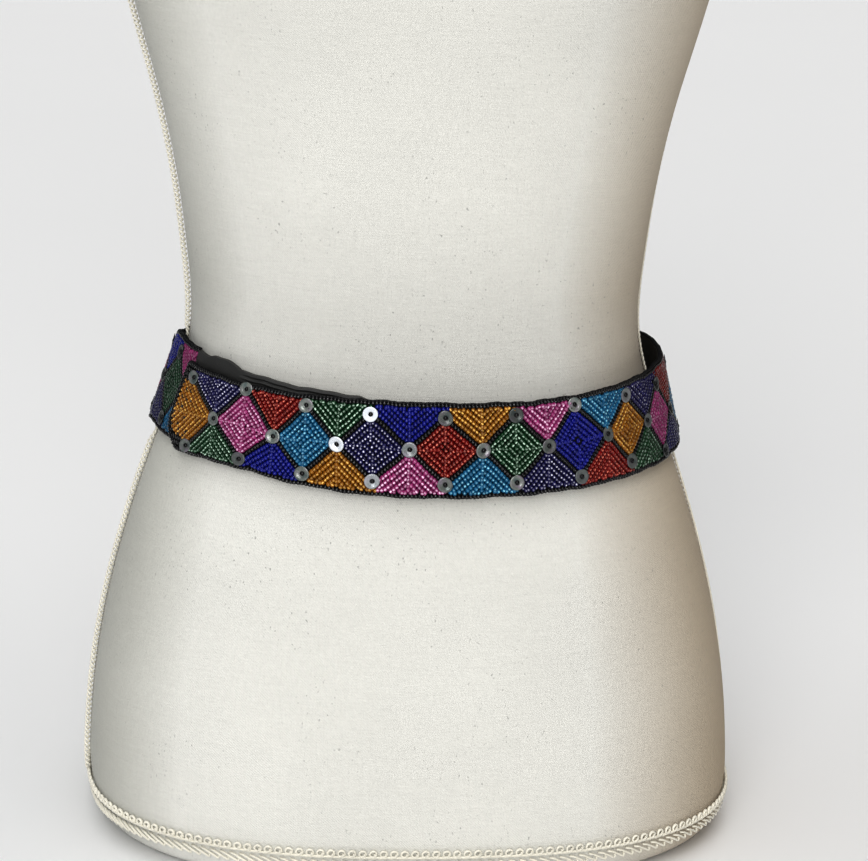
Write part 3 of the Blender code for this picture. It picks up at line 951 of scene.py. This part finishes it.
def cord_arrays(routes, width):
    """Cords of one width along routes, as vertices and faces."""
    curve = bpy.data.curves.new("cord", "CURVE")
    curve.dimensions = "3D"
    curve.bevel_depth = width / 2
    curve.bevel_resolution = 1
    curve.use_fill_caps = True
    for route in routes:
        spline = curve.splines.new("POLY")
        spline.points.add(len(route) - 1)
        for point, place in zip(spline.points, route):
            point.co = (*place, 1.0)
    holder = add_object("cord", curve)
    data = bpy.data.meshes.new_from_object(holder)
    bpy.data.objects.remove(holder)
    bpy.data.curves.remove(curve)
    shape = bmesh.new()
    shape.from_mesh(data)
    bpy.data.meshes.remove(data)
    bmesh.ops.remove_doubles(shape, verts=shape.verts, dist=0.005 * MM)
    bmesh.ops.recalc_face_normals(shape, faces=shape.faces)
    return mesh_arrays(shape)


def form_tree():
    """The form's finished surface, to lay trims on."""
    skin = bpy.data.objects["form_skin"]
    return BVHTree.FromObject(skin, bpy.context.evaluated_depsgraph_get())


class AddFormSkin(bpy.types.Operator):
    """Cover the form in smooth canvas"""

    bl_idname = "beaded_belt.form_skin"
    bl_label = "Form skin"

    def execute(self, context):
        shape = bmesh.new()
        shape.from_mesh(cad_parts["dress_form"].data)
        bmesh.ops.remove_doubles(shape, verts=shape.verts, dist=0.02 * MM)
        bmesh.ops.join_triangles(shape, faces=shape.faces, angle_face_threshold=0.35,
                                 angle_shape_threshold=0.9)
        crease = shape.edges.layers.float.new("crease_edge")
        for edge in shape.edges:
            if len(edge.link_faces) == 2 and edge.calc_face_angle(0.0) > math.radians(48.0):
                edge[crease] = 0.8
        material = canvas_finish(context.scene.belt_cloth)
        skin = finish_piece("form_skin", mesh_data("form_skin", shape), material,
                            ("dress_form",))
        rounder = skin.modifiers.new("rounder", "SUBSURF")
        rounder.levels = 2
        rounder.render_levels = 2
        return {"FINISHED"}


class AddFormEnds(bpy.types.Operator):
    """Close the form's neck and armholes with covered plates"""

    bl_idname = "beaded_belt.form_ends"
    bl_label = "Neck cap and arm plates"

    def execute(self, context):
        material = bpy.data.materials["cream canvas"]
        for node, axis in (("neck_cap", "Z"), ("arm_plate_left", "X"), ("arm_plate_right", "X")):
            low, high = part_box(node)
            middle, size = (low + high) / 2, high - low
            along_x = axis == "X"
            depth = size.x if along_x else size.z
            shape = bmesh.new()
            turn = Matrix.Rotation(math.pi / 2, 4, "Y") if along_x else Matrix.Identity(4)
            bmesh.ops.create_cone(shape, cap_ends=True, segments=64, radius1=0.5, radius2=0.5,
                                  depth=1.0, matrix=turn)
            bmesh.ops.scale(shape, vec=size, verts=shape.verts)
            rims = [edge for edge in shape.edges if edge.calc_face_angle(0.0) > 1.0]
            bmesh.ops.bevel(shape, geom=rims, offset=0.28 * depth, offset_type="OFFSET",
                            segments=4, profile=0.5, affect="EDGES", material=-1)
            bmesh.ops.translate(shape, vec=middle, verts=shape.verts)
            finish_piece(f"{node}_cover", mesh_data(node, shape), material,
                         (node,))
        return {"FINISHED"}


class AddBaseBraid(bpy.types.Operator):
    """Lay the gimp braid round the form's base"""

    bl_idname = "beaded_belt.base_braid"
    bl_label = "Base braid"

    def execute(self, context):
        cloth = context.scene.belt_cloth
        low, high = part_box("base_braid")
        level, rise = low.z, high.z - low.z
        tree = form_tree()
        centre = Vector(((low.x + high.x) / 2, 0.0, 0.0))
        turns = np.linspace(0.0, 2.0 * math.pi, 721)

        def on_form(turn, height, out):
            way = Vector((math.sin(turn), -math.cos(turn), 0.0))
            spot, normal, _, _ = tree.ray_cast(centre + Vector((0.0, 0.0, height)), way)
            return spot + normal * out

        ring = [on_form(turn, level + rise / 2, 0.0) for turn in turns]
        steps = [0.0] + [(b - a).length for a, b in zip(ring, ring[1:])]
        lengths = np.cumsum(steps)
        count = round(lengths[-1] / cloth.gimp_step)
        pitch = lengths[-1] / count

        def wrap(places):
            angles = np.interp(places[:, 0] % lengths[-1], lengths, turns)
            return np.array([on_form(turn, level + up, GIMP_GAP + GIMP_RELIEF * out)
                             for turn, (_, up, out) in zip(angles, places)])

        # One repeat, as places along, up and out: a loop with its tail, and a lower strand
        width = cloth.cord_width
        loop_radius = 0.32 * pitch
        loop_height = rise - loop_radius - width / 2
        loop = []
        for i in range(19):
            turn = math.radians(-100.0 + 480.0 * i / 18)
            reach = loop_radius * (1.0 - 0.55 * max(0.0, (i - 12) / 6))
            loop.append((reach * math.cos(turn), loop_height + reach * math.sin(turn),
                         width * (0.7 + 0.45 * i / 18)))
        tail = [(along * pitch, loop_height - down * loop_radius, out * width)
                for along, down, out in ((-1.5, 1.55, 0.5), (-0.8, 1.25, 0.6), (-0.2, 1.0, 0.9))]
        lower = np.array((
            (-0.9, 0.40, 0.5), (-0.4, 0.36, 0.9), (0.2, 0.22, 1.1), (0.75, 0.08, 1.0),
            (0.95, 0.05, 1.0), (1.02, 0.13, 0.8), (0.90, 0.20, 0.5))) * (pitch, rise, width)
        points, faces = cord_arrays([tail + loop, lower], width)
        copies = np.concatenate([points + (i * pitch, 0.0, 0.0) for i in range(count)])
        data = copied_data("base_gimp", wrap(copies), faces, count)
        material = braid_finish(cloth)
        finish_piece("base_gimp", data, material, ("base_braid",))
        return {"FINISHED"}


class AddSideBraids(bpy.types.Operator):
    """Lay a braid of two twisted cords up each side seam"""

    bl_idname = "beaded_belt.side_braids"
    bl_label = "Side braids"

    def execute(self, context):
        cloth = context.scene.belt_cloth
        material = bpy.data.materials["cream rayon braid"]
        tree = form_tree()
        belt_low, belt_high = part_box("belt_lining")
        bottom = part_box("base_braid")[1].z
        for side, node in ((-1, "side_braid_left"), (1, "side_braid_right")):
            low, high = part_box(node)
            centre_y = (low.y + high.y) / 2
            width = cloth.cord_width
            routes = []
            for k in range(2):
                route = []
                height = bottom + width / 2
                while height < high.z - width / 2:
                    turn = 2.0 * math.pi * (height / cloth.plait_step + k / 2.0)
                    # Behind the belt the cords lie flat, clear of its lining
                    clear = max(belt_low.z - height, height - belt_high.z, 0.0)
                    reach = min(CHAIN_RISE[side], CHAIN_FLAT + CHAIN_SLOPE * clear)
                    route.append((CHAIN_SWING * math.sin(turn), height,
                                  width / 2 + reach * (1.0 + math.cos(turn))))
                    height += cloth.plait_step / 10
                routes.append(route)
            points, faces = cord_arrays(routes, width)
            spots = []
            for across, height, out in points:
                start = Vector((0.0, centre_y + across, height))
                start.y -= CHAIN_FORWARD[side] * max(0.0, 1.0 - height / CHAIN_BEND) ** 1.5
                spot, normal, _, _ = tree.ray_cast(start, Vector((side, 0.0, 0.0)))
                spots.append(spot + normal * (CHAIN_GAP + out))
            data = bpy.data.meshes.new(f"{node}_plait")
            data.from_pydata(spots, [], faces)
            if side < 0:
                data.flip_normals()
            finish_piece(f"{node}_plait", data, material, (node,))
        return {"FINISHED"}


class AddBeltCloth(bpy.types.Operator):
    """Make the belt's ground cloth, its lining, tapes and tab"""

    bl_idname = "beaded_belt.cloth"
    bl_label = "Ground cloth, lining, tapes and tab"

    def execute(self, context):
        cloth = context.scene.belt_cloth
        satin = satin_finish("black satin", cloth.satin, shine=0.8, roughness=0.42,
                             rib_step=0.5 * MM)
        tape = satin_finish("black tape", cloth.tape, shine=0.08, roughness=0.6,
                            rib_step=0.7 * MM)
        flat = (2.0 * FACE_HALF, UNDER_END - OUTERMOST)
        ground = self.make_layer("ground_cloth", tape, "beadwork", "belt_face",
                                 GROUND_THICKNESS, lambda height: GROUND_OUT - crown(height))
        lining = self.make_layer("satin_lining", satin, "black_satin", "belt_lining",
                                 LINING_THICKNESS, lambda height: LINING_OUT)
        tab = self.make_tab(satin)
        tapes = self.make_tapes(tape)
        return {"FINISHED"}

    def make_layer(self, name, material, slot, node, thickness, depth):
        """A strip with the outer end's cut, at a depth that depends on the height."""
        shape = flat_strip(OUTERMOST, UNDER_END, FACE_HALF, 360, 12)
        trim_end(shape)
        thicken(shape, thickness)

        def wrap(places):
            places[:, 2] += depth(places[:, 1])
            return on_belt(places)

        return finish_piece(name, bend_mesh(name, shape, wrap), material, (node,),
                            smooth=False)

    def make_tab(self, material):
        """The tab with its ear and the folds along its top edge."""
        shape = flat_strip(TAB_START, TAB_END, TAB_HALF, 100, 44)
        for vert in shape.verts:
            along, height = vert.co.x, vert.co.y
            t = (along - EAR_START) / EAR_LENGTH
            ear = math.sqrt(max(0.0, 1.0 - (2.0 * t - 1.0) ** 2)) if 0.0 < t < 1.0 else 0.0
            grow = (EAR_RISE * ear + FACE_HALF - TAB_HALF) * max(0.0, height / TAB_HALF)
            left = max(0.0, TAB_CORNER - (TAB_END - along))
            drop = TAB_CORNER - math.sqrt(max(0.0, TAB_CORNER**2 - left**2))
            vert.co.y = height * (TAB_HALF - 0.9 * drop) / TAB_HALF + grow
        thicken(shape, TAB_THICKNESS)

        def wrap(places):
            depth = FACE_HALF - places[:, 1]
            past_ear = (places[:, 0] - EAR_START - EAR_LENGTH) / FOLD_FADE
            folds = np.sin(2.0 * math.pi * depth / FOLD_PITCH) * (depth < 2.0 * FOLD_PITCH)
            places[:, 2] += folds * np.clip(past_ear, 0.0, 1.0) * FOLD_DEPTH + TAB_OUT
            return on_belt(places)

        return finish_piece("tab_cover", bend_mesh("tab_cover", shape, wrap), material,
                            ("closure_tab",), smooth=False)

    def make_tapes(self, material):
        """Folded tapes along the top, the bottom and the outer end."""
        pieces = []
        first = OUTER_END[-1].along
        top = [Vector((OUTER_END[0].along, FACE_HALF)), Vector((UNDER_END, FACE_HALF))]
        bottom = [Vector((first, -FACE_HALF)), Vector((UNDER_END, -FACE_HALF))]
        end = [Vector((point.along, point.height)) for point in OUTER_END]
        out_end = []
        for i, point in enumerate(end):
            before, after = end[max(0, i - 1)], end[min(len(end) - 1, i + 1)]
            run = (after - before).normalized()
            out_end.append(Vector((run.y, -run.x)))
        rows = (("tape_top", "binding_top", top, [Vector((0.0, 1.0))] * 2, 1100),
                ("tape_bottom", "binding_bottom", bottom, [Vector((0.0, -1.0))] * 2, 1100),
                ("tape_end", "binding_end", end, out_end, 40))
        for name, node, path, outward, steps in rows:
            shape = tape_strip(path, outward, steps)
            bmesh.ops.recalc_face_normals(shape, faces=shape.faces)
            data = bend_mesh(name, shape, on_belt)
            piece = finish_piece(name, data, material, (node,))
            wall = piece.modifiers.new("wall", "SOLIDIFY")
            wall.thickness = TAPE_WALL
            wall.offset = 0.0
            pieces.append(piece)
        return pieces


class AddBeads(bpy.types.Operator):
    """Sew on the seed beads"""

    bl_idname = "beaded_belt.beads"
    bl_label = "Seed beads"

    def execute(self, context):
        beads = context.scene.belt_beads
        laid, _ = lay_pattern(beads)
        for name in (*ORDER, "black"):
            dice = random.Random(name)
            kind = KINDS[name]
            make = barrel_shape if kind.shape == "barrel" else round_shape
            shape = make(beads.bead_length, beads.bead_width)
            places, tints, gleams = [], [], []
            for bead in laid[name]:
                places.append(Place(bead.along, bead.height,
                                    BEAD_OUT - crown(bead.height) + dice.gauss(0.0, 0.05) * MM,
                                    bead.turn + dice.gauss(0.0, 0.07), dice.gauss(0.0, 0.12),
                                    dice.gauss(0.0, 0.10), dice.gauss(1.0, 0.03)))
                # Painted shade where the belt faces aside: darker glass, on top of a random tint,
                # and weaker painted highlights
                side_shade = painted_side_shade(bead.along)
                tints.append(min(1.0, max(0.0, dice.gauss(0.45, 0.22) - 0.35 * side_shade)))
                gleams.append(min(1.0, bead.gleam * dice.uniform(0.3, 1.3))
                              * (1.0 - 0.85 * side_shade))
            material = bead_finish(name, getattr(beads, name), kind)
            strew(f"beads_{name}", shape, places, material, tints, gleams)
        return {"FINISHED"}


class AddSequins(bpy.types.Operator):
    """Sew a cup sequin with a black bead at each corner of the diamonds"""

    bl_idname = "beaded_belt.sequins"
    bl_label = "Sequins"

    def execute(self, context):
        beads = context.scene.belt_beads
        _, sequins = lay_pattern(beads)
        dice = random.Random("sequins")
        places, middles, gleams = [], [], []
        for (row, k), spot in sorted(sequins.items()):
            # A painted highlight on the sequins in BRIGHT_SEQUINS, and a faint random one on the
            # rest
            gleams.append(BRIGHT_SEQUINS.get((row, k), max(0.0, dice.gauss(0.0, 0.06))))
            lean, tip = dice.gauss(0.0, 0.07), dice.gauss(0.0, 0.07)
            out = SEQUIN_OUT - crown(spot.y)
            places.append(Place(spot.x, spot.y, out, dice.uniform(0.0, 6.0), lean, tip, 1.0))
            middles.append(Place(spot.x + 0.2 * MM, spot.y, out + 0.25 * MM,
                                 dice.uniform(0.0, 3.0), 0.0, 0.0, 1.0))
        # Darker film at random, and darker still as painted shade where the belt faces aside; the
        # sequins' middle beads share it
        tints = [max(0.8 * dice.random(), painted_side_shade(place.along) ** 0.4) for place in places]
        strew("cup_sequins", cup_shape(beads.sequin_width), places, sequin_finish(), tints, gleams)
        strew("sequin_beads", round_shape(2.2 * MM, 2.3 * MM), middles,
              bpy.data.materials["black glass beads"], tints, [0.0] * len(tints))
        return {"FINISHED"}


class AddStage(bpy.types.Operator):
    """Set the floor, the lights and the camera"""

    bl_idname = "beaded_belt.stage"
    bl_label = "Floor, lights and camera"

    def execute(self, context):
        stage = context.scene.belt_stage
        shape = bmesh.new()
        bmesh.ops.create_circle(shape, cap_ends=True, segments=96, radius=FLOOR_RADIUS)
        data = mesh_data("floor", shape)
        floor = add_object("floor", data)
        finish = Finish("pale floor", Roughness=0.9)
        soft = finish.noise(finish.place(), 1.5)
        finish.feed("Base Color", finish.blend(soft, rgba(stage.floor, 0.98), rgba(stage.floor)))
        data.materials.append(finish.material)

        self.make_world(context)
        self.add_sun("key", (-16.0, 34.0), 0.95, 30.0, (1.0, 0.99, 0.98))
        self.add_sun("front", (-6.0, 16.0), 1.10, 30.0, (1.0, 0.99, 0.98))
        self.add_sun("overhead", (0.0, 86.0), 1.7, 70.0, (1.0, 1.0, 1.0))
        self.add_camera(context, stage)
        context.scene.view_settings.view_transform = "Standard"
        context.scene.view_settings.gamma = 0.8
        return {"FINISHED"}

    def add_camera(self, context, stage):
        """The camera, framed as in the photo."""
        camera = add_object("camera", bpy.data.cameras.new("camera"))
        camera.data.lens = stage.lens
        camera.data.sensor_width = 36.0
        camera.data.clip_end = 40.0
        camera.matrix_world = (Matrix.Rotation(-stage.yaw, 4, "Z")
                               @ Matrix.Translation((stage.aside, -stage.distance, stage.height))
                               @ Matrix.Rotation(math.pi / 2 - stage.pitch, 4, "X")
                               @ Matrix.Rotation(stage.roll, 4, "Z"))
        context.scene.camera = camera

    def make_world(self, context):
        """Dim surroundings, cool on the left and warm on the right."""
        world = bpy.data.worlds.new("studio")
        context.scene.world = world
        world.use_nodes = True
        nodes, links = world.node_tree.nodes, world.node_tree.links
        place = nodes.new("ShaderNodeTexCoord")
        parts = nodes.new("ShaderNodeSeparateXYZ")
        ramp = nodes.new("ShaderNodeValToRGB")
        ramp.color_ramp.elements[0].position = 0.0
        ramp.color_ramp.elements[0].color = (0.17, 0.18, 0.19, 1.0)
        ramp.color_ramp.elements[1].position = 0.75
        ramp.color_ramp.elements[1].color = (0.10, 0.08, 0.055, 1.0)
        links.new(place.outputs["Generated"], parts.inputs[0])
        links.new(parts.outputs["X"], ramp.inputs["Fac"])
        links.new(ramp.outputs["Color"], nodes["Background"].inputs["Color"])

    def add_sun(self, name, angles, strength, softness, colour):
        """A soft far light, from an azimuth and an elevation in degrees."""
        light = bpy.data.lights.new(name, "SUN")
        light.energy = strength
        light.angle = math.radians(softness)
        light.color = colour
        lamp = add_object(name, light)
        azimuth, elevation = (math.radians(angle) for angle in angles)
        way = Vector((math.sin(azimuth) * math.cos(elevation),
                      -math.cos(azimuth) * math.cos(elevation), math.sin(elevation)))
        lamp.rotation_euler = way.to_track_quat("Z", "Y").to_euler()


class BeltPanel(bpy.types.Panel):
    """Lists the pieces in the sidebar"""

    bl_idname = "VIEW3D_PT_beaded_belt"
    bl_label = "Beaded belt"
    bl_space_type = "VIEW_3D"
    bl_region_type = "UI"
    bl_category = "Beaded belt"

    def draw(self, context):
        for operator in OPERATORS:
            self.layout.operator(operator.bl_idname)


OPERATORS = (AddFormSkin, AddFormEnds, AddBaseBraid, AddSideBraids, AddBeltCloth, AddBeads,
             AddSequins, AddStage)
SETTINGS = {"belt_beads": BeadSettings, "belt_cloth": ClothSettings, "belt_stage": StageSettings}


def register():
    """Make the settings, operators and panel known to Blender."""
    for kind in (*SETTINGS.values(), *OPERATORS, BeltPanel):
        bpy.utils.register_class(kind)
    for name, kind in SETTINGS.items():
        setattr(bpy.types.Scene, name, bpy.props.PointerProperty(type=kind))


def unregister():
    """Take them back out."""
    for name in SETTINGS:
        delattr(bpy.types.Scene, name)
    for kind in reversed((*SETTINGS.values(), *OPERATORS, BeltPanel)):
        bpy.utils.unregister_class(kind)


def main():
    """Build every piece."""
    register()
    bpy.ops.beaded_belt.form_skin()
    bpy.ops.beaded_belt.form_ends()
    bpy.ops.beaded_belt.base_braid()
    bpy.ops.beaded_belt.side_braids()
    bpy.ops.beaded_belt.cloth()
    bpy.ops.beaded_belt.beads()
    bpy.ops.beaded_belt.sequins()
    bpy.ops.beaded_belt.stage()


if __name__ == "__main__":
    main()
